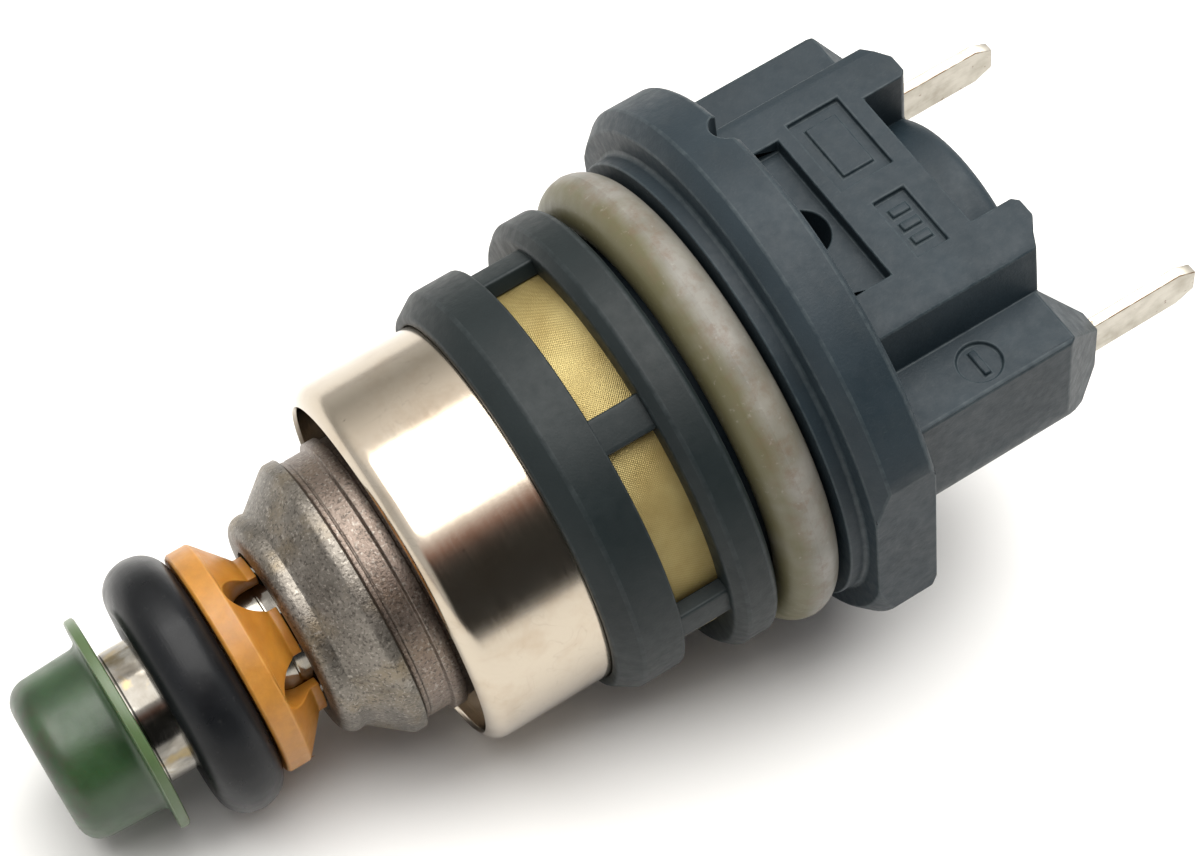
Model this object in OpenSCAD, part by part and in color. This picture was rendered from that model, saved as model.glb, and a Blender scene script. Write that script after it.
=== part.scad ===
// Side-feed throttle-body fuel injector, in millimetres.
// The axis is Z, from the spray tip at Z = 0 up to the blades.
// The marked broad face looks along -Y and the two blades stand at +X and -X.

/* [Nozzle end] */
// Height of the flange seat above the spray tip
seat_z = 41.5; // [41.4:0.05:41.6]
// Radius of the polished nozzle stem
stem_r = 3.8; // [3.7:0.01:3.8]
// Length of the nozzle cap from its tip to the back of its disc
cap_h = 5.05; // [4.9:0.05:5.2]
// Radius of the nozzle cap
cap_r = 4.72; // [4.6:0.02:4.9]
// Radius of the disc behind the nozzle cap
cap_disc_r = 6.12; // [5.9:0.02:6.4]
// Radius of the opening in the nozzle cap
cap_mouth_r = 2.1; // [1.8:0.1:2.4]
// Radius of the spacer ring's rim
spacer_r = 6.45; // [6.2:0.05:6.6]
// Number of windows in the spacer ring
spacer_windows = 6; // [4:1:6]

/* [Seals] */
// Cord radius of the lower O-ring
low_seal_cord_r = 1.77; // [1.75:0.005:1.8]
// Extra width of the lower O-ring along the axis, from being squeezed
low_seal_extra = 0.25; // [0.15:0.05:0.35]
// Cord radius of the upper O-ring
high_seal_cord_r = 1.74; // [1.7:0.01:1.76]
// Radius of the groove that holds the upper O-ring
high_groove_r = 10; // [9.9:0.05:10]

/* [Steel body] */
// Radius of the valve carrier's rolled lower bead
bead_r = 6.4; // [6.3:0.05:6.6]
// Radius of the valve carrier's ridge
ridge_r = 8; // [7.9:0.05:8.3]
// Radius of the turned land above the ridge
land_r = 7.65; // [7.6:0.05:7.8]
// Outer radius of the coil can
can_r = 10.6; // [10.55:0.01:10.6]
// Wall of the coil can
can_wall = 0.9; // [0.85:0.05:0.9]

/* [Filter] */
// Outer radius of the cage's lower ring
cage_low_r = 12; // [11.9:0.05:12.2]
// Outer radius of the cage's upper ring
cage_top_r = 12.85; // [12.7:0.05:13]
// Number of pillars between the two rings
pillars = 6; // [4:1:8]
// Width of one pillar
pillar_w = 2; // [1.6:0.1:2.2]

/* [Connector housing] */
// Radius of the flange
flange_r = 15.4; // [15.2:0.05:15.6]
// Distance of the flange's side flats from the axis
flange_flat_x = 14.2; // [14:0.05:14.6]
// Thickness of the flange
flange_t = 3.7; // [3.5:0.1:3.9]
// Half the width of the broad front face
front_half_w = 7.15; // [7:0.05:7.3]
// Distance of the broad front face from the axis
front_y = 9.4; // [9.2:0.05:9.6]
// Height of the broad front face's top edge above the seat
front_top = 12.4; // [12:0.1:12.8]
// Height of the two prongs at the ends of the face above the seat
prong_top = 15.2; // [14.8:0.1:15.6]
// Radius of the round dome between the prongs
dome_r = 7.5; // [7.2:0.05:7.8]
// Distance of the terminal towers' outer faces from the axis
tower_x = 12.2; // [12:0.05:12.6]
// Distance of the towers' front faces from the axis plane
tower_y = 6.2; // [6:0.05:6.4]

/* [Blades] */
// Distance of each blade's middle from the axis
blade_x = 9.3; // [9.2:0.05:9.4]
// Width of a blade
blade_w = 2.6; // [2.4:0.1:2.8]
// Thickness of a blade
blade_t = 0.64; // [0.6:0.02:0.8]
// Height of the blade tips above the spray tip
blade_top_z = 65.2; // [64.6:0.1:65.8]

/* [Valve] */
// Lift of the needle
lift = 0.12; // [0.08:0.01:0.12]
// Radius of the needle's guide lands
land_guide_r = 1.87; // [1.85:0.01:1.88]
// Radius of the armature
armature_r = 4.38; // [4.3:0.01:4.4]
// Turns of the return spring
spring_turns = 9; // [6:1:10]

/* [Hidden] */
$fn = 96;

disc_top_z = cap_h;
disc_t = 0.58;
mouth_wall = 0.8;
stem_bottom_z = 1.1;
plate_t = 0.3;
collar_bottom_z = 14.9;
collar_top_z = 19.9;
collar_r = 5.6;
spacer_bottom_z = 10.55;
spacer_rim_t = 1.4;
spacer_top_z = 13.95;
low_seal_z = 8.75;
can_bottom_z = 20.2;
can_top_z = 36.3;
washer_bottom_z = 34;
washer_top_z = 35.63;
cage_bottom_z = 27.4;
window_bottom_z = 31.1;
window_top_z = 33.9;
cage_top_z = 36.4;
mesh_r = 10.98;
pillar_turn = -2.4;
carrier_top_z = 24;
shim_top_z = 20.5;
armature_bottom_z = 22.1;
armature_top_z = 29;
pole_gap = 0.15;
pole_bottom_z = armature_top_z + pole_gap;
pole_step_z = 30.1;
pole_neck_r = 3.98;
pole_top_z = 47.35;
pole_bore_r = 1.8;
sleeve_in_r = 4.45;
sleeve_out_r = 4.9;
bobbin_bottom_z = 24.1;
bobbin_top_z = 33.9;
bobbin_flange_t = 1.3;
coil_seal_cord_r = 0.5;
coil_seal_r = sleeve_out_r + coil_seal_cord_r + 0.02;
ball_r = 1.3;
ball_z = 3.1;
bore_r = 1.9;
spring_bottom_z = 25.1;
spring_top_z = 35.5;
tower_top = 13.8;
tower_ridge = 16.9;
leg_x = 7.3;
leg_bottom_z = 33.2;
jog_z = 43.5;
sleeve_bottom_z = 23.1;
slip = 0.02;

// Points of an arc about (cx, cy), for outlines.
function arc(cx, cy, r, from, to, steps = 8) =
    [for (i = [0:steps]) let (t = from + (to - from) * i / steps) [cx + r * cos(t), cy + r * sin(t)]];

// A ring of round cord about the axis.
module cord_ring(ring_r, cord_r, z) {
    translate([0, 0, z])
        rotate_extrude()
            translate([ring_r, 0])
                circle(cord_r);
}

// A tube about the axis between two heights.
module tube(in_r, out_r, low_z, high_z) {
    rotate_extrude()
        translate([in_r, low_z])
            square([out_r - in_r, high_z - low_z]);
}

// Copies of a shape on both sides of the YZ plane.
module both_sides() {
    children();
    mirror([1, 0, 0])
        children();
}

// Green cap pressed over the nozzle tip, with a thin disc at its back.
module nozzle_cap() {
    edge_r = 1.35;
    taper = 0.12;
    fillet_r = 0.45;
    disc_bottom_z = disc_top_z - disc_t;
    color("seagreen")
        rotate_extrude()
            polygon(concat(
                [[cap_mouth_r, mouth_wall], [cap_mouth_r, 0.3], [cap_mouth_r + 0.3, 0]],
                arc(cap_r - taper - edge_r, edge_r, edge_r, -90, 0),
                arc(cap_r + fillet_r, disc_bottom_z - fillet_r, fillet_r, 180, 90),
                [[cap_disc_r, disc_bottom_z], [cap_disc_r, disc_top_z],
                 [stem_r + slip, disc_top_z], [stem_r + slip, mouth_wall]]));
}

// Thin disc with four orifices that shapes the spray.
module spray_plate() {
    orifice_r = 0.12;
    orifice_ring_r = 0.35;
    color("silver")
        difference() {
            tube(0, stem_r - 0.3, stem_bottom_z - plate_t, stem_bottom_z);
            for (turn = [0:90:270])
                rotate(turn)
                    translate([orifice_ring_r, 0, stem_bottom_z - 1])
                        cylinder(h = 2, r = orifice_r, $fn = 24);
        }
}

// Polished nozzle body: long stem, clamped collar, guide bore and valve seat.
module nozzle_body() {
    seat_top_z = 2.9;
    seat_low_z = 1.9;
    outlet_r = 0.6;
    pocket_r = 2.6;
    pocket_z = 18.3;
    color("gainsboro")
        rotate_extrude()
            polygon([[outlet_r, stem_bottom_z], [stem_r - 0.25, stem_bottom_z], [stem_r, stem_bottom_z + 0.25],
                     [stem_r, collar_bottom_z], [collar_r, collar_bottom_z], [collar_r, collar_top_z],
                     [pocket_r, collar_top_z], [pocket_r, pocket_z], [bore_r, pocket_z],
                     [bore_r, seat_top_z], [outlet_r, seat_low_z]]);
}

// Black seal of the nozzle stem, squeezed a little wider along the axis.
module lower_o_ring() {
    ring_r = stem_r + slip + low_seal_cord_r;
    color("black")
        rotate_extrude()
            union() {
                translate([ring_r, low_seal_z])
                    circle(low_seal_cord_r);
                translate([ring_r, low_seal_z - low_seal_extra])
                    circle(low_seal_cord_r);
                translate([ring_r - low_seal_cord_r, low_seal_z - low_seal_extra])
                    square([2 * low_seal_cord_r, low_seal_extra]);
            }
}

// Orange spacer ring that backs the lower O-ring, with arched slots through its neck.
module spacer_ring() {
    neck_r = 4.6;
    rim_top_z = spacer_bottom_z + spacer_rim_t;
    window_r = 1.05;
    window_z = rim_top_z + window_r;
    color("darkorange")
        difference() {
            rotate_extrude()
                polygon([[stem_r + slip, spacer_bottom_z], [spacer_r - 0.15, spacer_bottom_z],
                         [spacer_r, spacer_bottom_z + 0.15], [spacer_r, rim_top_z - 0.1],
                         [spacer_r - 0.1, rim_top_z], [neck_r + 0.25, spacer_top_z - 0.7],
                         [neck_r, spacer_top_z - 0.5], [neck_r, spacer_top_z], [stem_r + slip, spacer_top_z]]);
            for (i = [0:spacer_windows - 1])
                rotate(i * 360 / spacer_windows + 30)
                    translate([stem_r - 0.8, 0, window_z]) {
                        rotate([0, 90, 0])
                            cylinder(h = spacer_r, r = window_r, $fn = 48);
                        translate([0, -window_r, 0])
                            cube([spacer_r, 2 * window_r, 2]);
                    }
        }
}

// Blasted steel carrier: rolled bead, cone, ridge and land outside, a flange inside the can.
module valve_carrier() {
    bead_edge = 0.9;
    bead_z = 14;
    crimp_r = 4.7;
    ridge_low_z = 17.35;
    ridge_high_z = 17.95;
    lip_r = land_r + 0.3;
    lip_low_z = 19.5;
    lip_high_z = 20.35;
    neck_r = land_r + 0.05;
    flange_low_z = 22.1;
    armature_bore_r = armature_r + 0.09;
    web_bore_r = 2.7;
    web_top_z = shim_top_z + 1.2;
    color("slategray")
        rotate_extrude()
            polygon(concat(
                [[crimp_r, bead_z]],
                arc(bead_r - bead_edge, bead_z + bead_edge, bead_edge, -90, 0),
                [[bead_r, bead_z + 1.25], [ridge_r - 0.05, ridge_low_z - 0.1], [ridge_r, ridge_low_z],
                 [ridge_r, ridge_high_z], [land_r, ridge_high_z + 0.1], [land_r, lip_low_z],
                 [lip_r, lip_low_z + 0.12], [lip_r, lip_high_z], [neck_r, lip_high_z], [neck_r, flange_low_z],
                 [can_r - can_wall - slip, flange_low_z], [can_r - can_wall - slip, carrier_top_z],
                 [sleeve_out_r + slip, carrier_top_z], [sleeve_out_r + slip, sleeve_bottom_z],
                 [armature_bore_r, sleeve_bottom_z], [armature_bore_r, web_top_z], [web_bore_r, web_top_z],
                 [web_bore_r, shim_top_z], [collar_r + slip, shim_top_z],
                 [collar_r + slip, collar_bottom_z], [crimp_r, collar_bottom_z]]));
}

// Ring against which the needle's shoulder stops at full lift.
module lift_stop_shim() {
    color("lightsteelblue")
        tube(1.65, collar_r, collar_top_z, shim_top_z);
}

// Nickel-plated can round the coil, rolled over the flux washer, with two fuel inlets.
module coil_can() {
    rim_edge = 1.1;
    lip_edge = 0.8;
    crimp_in_r = 8.9;
    inlet_r = 1.1;
    inlet_z = 32.2;
    in_r = can_r - can_wall;
    color("silver")
        difference() {
            rotate_extrude()
                polygon(concat(
                    [[in_r + 0.12, can_bottom_z + 0.02]],
                    arc(can_r - rim_edge, can_bottom_z + rim_edge, rim_edge, -70, 0, 6),
                    arc(can_r - lip_edge, can_top_z - lip_edge, lip_edge, 0, 90, 6),
                    [[crimp_in_r, can_top_z], [crimp_in_r, washer_top_z + slip],
                     [in_r, washer_top_z + slip], [in_r, can_bottom_z + 0.3]]));
            for (turn = [-48, 132])
                rotate(turn)
                    translate([0, 0, inlet_z])
                        rotate([0, 90, 0])
                            cylinder(h = can_r + 1, r = inlet_r, $fn = 48);
        }
}

// Plastic cage of two rings joined by pillars.
module filter_cage() {
    in_r = can_r + 0.05;
    pillar_in_r = mesh_r + slip;
    color("darkslategray")
        union() {
            rotate_extrude()
                polygon([[in_r, cage_bottom_z], [can_r + 0.6, cage_bottom_z], [cage_low_r, cage_bottom_z + 1.25],
                         [cage_low_r, window_bottom_z - 0.15], [cage_low_r - 0.15, window_bottom_z],
                         [in_r, window_bottom_z]]);
            rotate_extrude()
                polygon([[in_r, window_top_z], [cage_top_r - 0.55, window_top_z],
                         [cage_top_r, window_top_z + 0.6], [cage_top_r, cage_top_z - 0.4],
                         [cage_top_r - 0.35, cage_top_z], [in_r, cage_top_z]]);
            for (i = [0:pillars - 1])
                rotate(i * 360 / pillars + pillar_turn)
                    intersection() {
                        tube(pillar_in_r, cage_low_r - 0.05, window_bottom_z - 0.2, window_top_z + 0.2);
                        translate([pillar_in_r - 1, -pillar_w / 2, window_bottom_z - 1])
                            cube([3, pillar_w, window_top_z - window_bottom_z + 2]);
                    }
        }
}

// Fine mesh sleeve behind the cage's windows.
module filter_mesh() {
    color("khaki")
        tube(mesh_r - 0.22, mesh_r, window_bottom_z, window_top_z);
}

// Grey O-ring in the groove under the flange.
module upper_o_ring() {
    color("darkgray")
        cord_ring(high_groove_r + slip + high_seal_cord_r, high_seal_cord_r, seat_z - 2.85);
}

// Outline of the block that carries the broad face, seen from above.
module block_outline() {
    corner_y = front_y - 0.35;
    polygon([for (side = [1, -1])
                 each [[side * front_half_w, -side * front_y], [side * (front_half_w + 0.8), -side * corner_y],
                       [side * 8.5, -side * tower_y], [side * 8.5, side * tower_y],
                       [side * (front_half_w + 0.8), side * corner_y], [side * front_half_w, side * front_y]]]);
}

// Prongs at both ends of the broad face, with sloping tops.
module prongs() {
    in_x = 4.85;
    both_sides()
        intersection() {
            linear_extrude(prong_top)
                block_outline();
            translate([0, front_y + 1, 0])
                rotate([90, 0, 0])
                    linear_extrude(2 * front_y + 2)
                        polygon([[in_x, flange_t], [in_x, prong_top - 0.35], [in_x + 0.35, prong_top],
                                 [6.3, prong_top], [7.2, prong_top - 0.6], [9, prong_top - 1.4], [9, flange_t]]);
        }
}

// Round dome between the prongs.
module dome() {
    edge_r = 0.9;
    rotate_extrude()
        polygon(concat([[0, flange_t - 0.5], [dome_r, flange_t - 0.5]],
                       arc(dome_r - edge_r, 15.4 - edge_r, edge_r, 0, 90), [[0, 15.4]]));
}

// Tower round the blade at +X: flat front, round back, tent-shaped top.
module tower() {
    back_r = 4;
    back_x = tower_x - back_r;
    intersection() {
        translate([0, 0, flange_t - 0.5])
            linear_extrude(20)
                polygon(concat([[6, -tower_y], [tower_x - 0.15, -tower_y], [tower_x, -tower_y + 0.15]],
                               arc(back_x, 0, back_r, 0, 90), [[6, back_r]]));
        translate([0, 10, 0])
            rotate([90, 0, 0])
                linear_extrude(20)
                    polygon([[6, 3], [tower_x + 1, 3], [tower_x + 1, tower_top - 1.1],
                             [tower_x, tower_top - 0.3], [blade_x + 0.75, tower_ridge],
                             [blade_x - 0.6, tower_ridge], [8.2, 14], [6, 13]]);
        rotate([90, 0, 90])
            linear_extrude(20)
                polygon([[-tower_y, 3], [-tower_y, tower_top], [-1.7, tower_ridge], [1.7, tower_ridge],
                         [back_r, tower_top], [back_r, 3]]);
    }
}

// Polarity mark on the minus tower's front face: a round recess with one raised bar.
module polarity_cut() {
    mark_r = 1.2;
    depth = 0.25;
    translate([10.4, -tower_y, 9])
        rotate([90, 0, 0])
            difference() {
                translate([0, 0, -depth])
                    cylinder(h = depth + 1, r = mark_r, $fn = 48);
                cube([1.6, 0.4, 2 * depth + 0.1], center = true);
            }
}

// Pocket, blind hole, notch in the flange's rim and shallow marking fields of the broad face.
module front_cuts() {
    pocket_y = 8.5;
    hole_r = 1.6;
    notch_r = 1.15;
    field_depth = 0.35;
    translate([-5.2, -front_y - 1, flange_t - 0.1])
        cube([10.4, front_y + 1 - pocket_y, 3.6]);
    translate([0, -5.5, 5.1])
        rotate([90, 0, 0])
            cylinder(h = 5, r = hole_r, $fn = 48);
    translate([-4.05, -pocket_y, flange_t + 0.2])
        rotate([90, 0, 0])
            cylinder(h = 10, r = notch_r, $fn = 48);
    difference() {
        translate([-5.75, -front_y - 1, 8.1])
            cube([5.15, 1 + field_depth, 3.2]);
        translate([-5, -front_y + 0.12, 8.75])
            cube([3.65, 1, 1.9]);
    }
    difference() {
        translate([1, -front_y - 1, 8.95])
            cube([4.05, 1 + field_depth, 1.9]);
        for (x = [1.75:1:3.75])
            translate([x, -front_y + 0.12, 9.35])
                cube([0.55, 1, 1.1]);
    }
}

// Flange with two side flats, its O-ring collar and the spigot inside the can's rolled edge.
module flange() {
    spigot_r = 8.85;
    shelf_r = 13.35;
    root = 0.15;
    intersection() {
        rotate_extrude()
            polygon([[0, washer_top_z], [spigot_r, washer_top_z], [spigot_r, can_top_z + slip],
                     [high_groove_r, can_top_z + slip], [high_groove_r, seat_z - 1],
                     [shelf_r - root, seat_z - 1], [shelf_r - root, seat_z - root], [shelf_r, seat_z],
                     [flange_r - 0.8, seat_z], [flange_r, seat_z + 0.9],
                     [flange_r, seat_z + flange_t - 0.3], [flange_r - 0.3, seat_z + flange_t],
                     [0, seat_z + flange_t]]);
        translate([-flange_flat_x, -flange_r - 1, 0])
            cube([2 * flange_flat_x, 2 * flange_r + 2, seat_z + flange_t + 1]);
    }
}

// Black moulded housing: O-ring collar, flange, block, prongs, dome and two towers.
module connector_housing() {
    color("darkslategray")
        difference() {
            union() {
                flange();
                translate([0, 0, seat_z]) {
                    translate([0, 0, flange_t - 0.5])
                        linear_extrude(front_top - flange_t + 0.5)
                            block_outline();
                    prongs();
                    dome();
                    both_sides()
                        tower();
                }
            }
            translate([0, 0, seat_z]) {
                front_cuts();
                polarity_cut();
            }
            cylinder(h = pole_top_z + 0.1, r = pole_neck_r + slip);
            both_sides()
                terminal_shape(slip);
        }
}

// A terminal at +X: leg on the coil, jog in the flange, and the blade with a bevelled tip.
module terminal_shape(grow = 0) {
    leg_w = 1.6 + 2 * grow;
    t = blade_t + 2 * grow;
    wide = blade_w + 2 * grow;
    bevel = 1.1;
    translate([leg_x - t / 2, -leg_w / 2, leg_bottom_z - grow])
        cube([t, leg_w, jog_z - leg_bottom_z + t]);
    translate([leg_x - t / 2, -leg_w / 2, jog_z - grow])
        cube([blade_x - leg_x + t, leg_w, t]);
    translate([blade_x - t / 2, 0, 0])
        rotate([90, 0, 90])
            linear_extrude(t)
                polygon([[-wide / 2, jog_z - grow], [wide / 2, jog_z - grow], [wide / 2, blade_top_z - bevel],
                         [wide / 2 - 0.55, blade_top_z], [-wide / 2 + 0.55, blade_top_z],
                         [-wide / 2, blade_top_z - bevel]]);
}

module terminal_minus() {
    color("lightgray")
        terminal_shape();
}

module terminal_plus() {
    color("lightgray")
        mirror([1, 0, 0])
            terminal_shape();
}

// Magnetic washer that closes the coil can under its rolled edge.
module flux_washer() {
    color("dimgray")
        difference() {
            tube(sleeve_out_r + slip, can_r - can_wall - slip, washer_bottom_z, washer_top_z);
            both_sides()
                translate([leg_x - 0.8, -1.3, washer_bottom_z - 1])
                    cube([1.6, 2.6, 4]);
        }
}

// Fixed pole core with the spring bore through it.
module pole_core() {
    color("darkgray")
        rotate_extrude()
            polygon([[pole_bore_r, pole_bottom_z], [sleeve_in_r - slip, pole_bottom_z],
                     [sleeve_in_r - slip, pole_step_z], [sleeve_out_r, pole_step_z],
                     [sleeve_out_r, washer_top_z - slip], [pole_neck_r, washer_top_z - slip],
                     [pole_neck_r, pole_top_z], [pole_bore_r, pole_top_z]]);
}

// Non-magnetic sleeve that guides the armature and joins the core to the carrier.
module guide_sleeve() {
    color("tan")
        tube(sleeve_in_r, sleeve_out_r, sleeve_bottom_z, pole_step_z);
}

// Tube pressed into the core that sets the spring's preload.
module adjusting_tube() {
    color("goldenrod")
        tube(0.9, pole_bore_r - slip, spring_top_z, 43.6);
}

// Ball pressed into the top of the core bore.
module core_plug_ball() {
    color("silver")
        translate([0, 0, 45.5])
            sphere(pole_bore_r - slip);
}

// Coil former with two flanges, seal recesses and sockets for the terminal legs.
module coil_bobbin() {
    in_r = sleeve_out_r + slip;
    tube_r = 5.5;
    rim_r = 9;
    recess_r = coil_seal_r + coil_seal_cord_r + 0.03;
    recess_h = 1.08;
    low_z = bobbin_bottom_z;
    high_z = bobbin_top_z;
    color("saddlebrown")
        difference() {
            rotate_extrude()
                polygon([[in_r, low_z + recess_h], [recess_r, low_z + recess_h], [recess_r, low_z], [rim_r, low_z],
                         [rim_r, low_z + bobbin_flange_t], [tube_r, low_z + bobbin_flange_t],
                         [tube_r, high_z - bobbin_flange_t], [rim_r, high_z - bobbin_flange_t], [rim_r, high_z],
                         [recess_r, high_z], [recess_r, high_z - recess_h], [in_r, high_z - recess_h]]);
            both_sides()
                terminal_shape(slip);
        }
}

// Copper winding between the bobbin's flanges.
module coil_winding() {
    color("chocolate")
        tube(5.53, 8.55, bobbin_bottom_z + bobbin_flange_t + 0.03, bobbin_top_z - bobbin_flange_t - 0.03);
}

module coil_seal_upper() {
    color("black")
        cord_ring(coil_seal_r, coil_seal_cord_r, bobbin_top_z - coil_seal_cord_r - 0.02);
}

module coil_seal_lower() {
    color("black")
        cord_ring(coil_seal_r, coil_seal_cord_r, bobbin_bottom_z + coil_seal_cord_r + 0.02);
}

// Valve needle: head in the armature, stop shoulder, two guide lands with flats, cup for the ball.
module valve_needle() {
    rod_r = 1.25;
    head_r = 2.2;
    low_land_z = ball_z + 1.4;
    high_land_z = 15.3;
    shoulder_top_z = collar_top_z - lift - 0.01;
    color("silver")
        difference() {
            union() {
                tube(0, head_r, armature_bottom_z, spring_bottom_z);
                tube(0, rod_r, ball_z + 0.5, armature_bottom_z + 0.1);
                tube(0, 2.3, shoulder_top_z - 0.8, shoulder_top_z);
                tube(0, land_guide_r, high_land_z, high_land_z + 2);
                tube(0, land_guide_r, low_land_z, low_land_z + 2);
            }
            translate([0, 0, ball_z])
                sphere(ball_r);
            for (turn = [0:120:240], low_z = [high_land_z, low_land_z])
                rotate(turn)
                    translate([1.55, -2, low_z - 0.2])
                        cube([2, 4, 2.4]);
        }
}

// Ball that closes the valve seat.
module valve_ball() {
    color("gainsboro")
        translate([0, 0, ball_z + 0.01])
            sphere(ball_r - 0.01);
}

// Armature that the coil pulls up against the spring.
module armature() {
    head_r = 2.2;
    spring_pocket_r = 1.75;
    color("dimgray")
        difference() {
            rotate_extrude()
                polygon([[head_r, armature_bottom_z], [armature_r - 0.2, armature_bottom_z],
                         [armature_r, armature_bottom_z + 0.2], [armature_r, armature_top_z - 0.2],
                         [armature_r - 0.2, armature_top_z], [spring_pocket_r, armature_top_z],
                         [spring_pocket_r, spring_bottom_z], [head_r, spring_bottom_z]]);
            for (turn = [0:90:270])
                rotate(turn)
                    translate([3.1, 0, armature_bottom_z - 1])
                        cylinder(h = 10, r = 0.55, $fn = 32);
        }
}

// Round wire wound in a helix between two heights.
module return_spring() {
    wire_r = 0.2;
    coil_r = 1.3;
    steps = 20;
    sides = 6;
    count = spring_turns * steps;
    rise = spring_top_z - spring_bottom_z - 2 * wire_r;
    points = [for (i = [0:count], k = [0:sides - 1])
                  let (turn = 360 * i / steps, face = 360 * k / sides, reach = coil_r + wire_r * cos(face))
                  [reach * cos(turn), reach * sin(turn),
                   spring_bottom_z + wire_r + rise * i / count + wire_r * sin(face)]];
    sleeve = [for (i = [0:count - 1], k = [0:sides - 1])
                  let (next = (k + 1) % sides, low = i * sides, high = low + sides)
                  [low + k, low + next, high + next, high + k]];
    ends = [[for (k = [sides - 1:-1:0]) k], [for (k = [0:sides - 1]) count * sides + k]];
    color("darkgray")
        polyhedron(points, concat(sleeve, ends));
}

connector_housing();
terminal_minus();
terminal_plus();
upper_o_ring();
filter_cage();
filter_mesh();
coil_can();
valve_carrier();
nozzle_body();
spacer_ring();
lower_o_ring();
nozzle_cap();
spray_plate();
valve_needle();
valve_ball();
armature();
return_spring();
adjusting_tube();
core_plug_ball();
pole_core();
guide_sleeve();
lift_stop_shim();
coil_bobbin();
coil_winding();
coil_seal_upper();
coil_seal_lower();
flux_washer();
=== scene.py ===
import math
import bpy
import bmesh
from mathutils import Matrix, Vector, noise


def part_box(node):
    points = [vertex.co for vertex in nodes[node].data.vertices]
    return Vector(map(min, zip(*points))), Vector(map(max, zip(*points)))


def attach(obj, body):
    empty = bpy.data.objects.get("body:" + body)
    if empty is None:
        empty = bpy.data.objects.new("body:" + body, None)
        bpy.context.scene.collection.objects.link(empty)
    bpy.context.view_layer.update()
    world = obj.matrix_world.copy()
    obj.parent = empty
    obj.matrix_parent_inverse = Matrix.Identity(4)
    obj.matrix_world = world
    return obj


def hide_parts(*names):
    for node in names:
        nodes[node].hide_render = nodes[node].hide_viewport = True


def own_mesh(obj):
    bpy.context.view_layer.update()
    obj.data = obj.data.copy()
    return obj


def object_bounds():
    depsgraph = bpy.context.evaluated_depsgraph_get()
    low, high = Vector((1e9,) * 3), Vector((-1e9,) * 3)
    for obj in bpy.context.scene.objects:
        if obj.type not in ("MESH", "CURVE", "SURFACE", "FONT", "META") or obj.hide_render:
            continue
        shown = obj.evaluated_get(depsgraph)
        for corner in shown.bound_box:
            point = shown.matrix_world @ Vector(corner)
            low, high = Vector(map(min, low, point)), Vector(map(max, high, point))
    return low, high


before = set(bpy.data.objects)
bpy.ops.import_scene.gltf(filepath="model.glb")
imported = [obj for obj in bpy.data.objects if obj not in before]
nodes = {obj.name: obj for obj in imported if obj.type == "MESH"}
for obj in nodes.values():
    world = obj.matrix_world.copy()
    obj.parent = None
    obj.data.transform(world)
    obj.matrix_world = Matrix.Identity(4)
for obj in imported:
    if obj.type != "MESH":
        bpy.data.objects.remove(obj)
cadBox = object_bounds()
print("frame loaded with", len(nodes), "nodes")

mm = 0.001


# small helpers for node trees

def addNode(tree, kind, inputs=None, **settings):
    made = tree.nodes.new(kind)
    for key, value in settings.items():
        setattr(made, key, value)
    for key, value in (inputs or {}).items():
        if isinstance(value, bpy.types.NodeSocket):
            tree.links.new(value, made.inputs[key])
        else:
            made.inputs[key].default_value = value
    return made


def where(tree, stretch=(1, 1, 1), shift=(0, 0, 0), turn=(0, 0, 0)):
    spot = addNode(tree, "ShaderNodeTexCoord").outputs["Object"]
    inputs = {"Vector": spot, "Scale": stretch, "Location": shift, "Rotation": turn}
    return addNode(tree, "ShaderNodeMapping", inputs).outputs["Vector"]


def speckle(tree, spot, size, detail=3.0, rough=0.55, warp=0.0):
    # size is the width of one blotch in millimetres
    inputs = {"Vector": spot, "Scale": 1 / (size * mm), "Detail": detail, "Roughness": rough,
              "Distortion": warp}
    return addNode(tree, "ShaderNodeTexNoise", inputs).outputs["Fac"]


def ramp(tree, level, stops, smooth="LINEAR"):
    made = addNode(tree, "ShaderNodeValToRGB", {"Fac": level})
    made.color_ramp.interpolation = smooth
    while len(made.color_ramp.elements) < len(stops):
        made.color_ramp.elements.new(0.5)
    for element, (place, tone) in zip(made.color_ramp.elements, stops):
        element.position = place
        element.color = (tone, tone, tone, 1) if isinstance(tone, (int, float)) else (*tone, 1)
    return made.outputs["Color"]


def patches(tree, fine, low, high, level=1.0):
    # nothing where the noise is under low, rising to level where it is over high
    return ramp(tree, fine, [(low, 0.0), (high, level)])


def between(tree, fine, ends):
    # the noise, turned into a value that runs between the two ends
    return ramp(tree, fine, [(0.3, ends[0]), (0.7, ends[1])])


def maths(tree, how, a, b=0.0, clamp=False):
    made = addNode(tree, "ShaderNodeMath", {0: a, 1: b}, operation=how, use_clamp=clamp)
    return made.outputs[0]


def share(tree, mask, level):
    return maths(tree, "MULTIPLY", mask, level)


def blendTone(tree, level, a, b, how="MIX"):
    made = addNode(tree, "ShaderNodeMix", data_type="RGBA", blend_type=how)
    for key, kind, value in (("Factor", "VALUE", level), ("A", "RGBA", a), ("B", "RGBA", b)):
        socket = next(s for s in made.inputs if s.name == key and s.type == kind)
        if isinstance(value, bpy.types.NodeSocket):
            tree.links.new(value, socket)
        else:
            socket.default_value = value if key == "Factor" else (*value, 1)
    return next(s for s in made.outputs if s.type == "RGBA")


def relief(tree, height, depth, under=None):
    # depth in millimetres
    inputs = {"Height": height, "Distance": depth * mm, "Strength": 1.0}
    if under is not None:
        inputs["Normal"] = under
    return addNode(tree, "ShaderNodeBump", inputs).outputs["Normal"]


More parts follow.
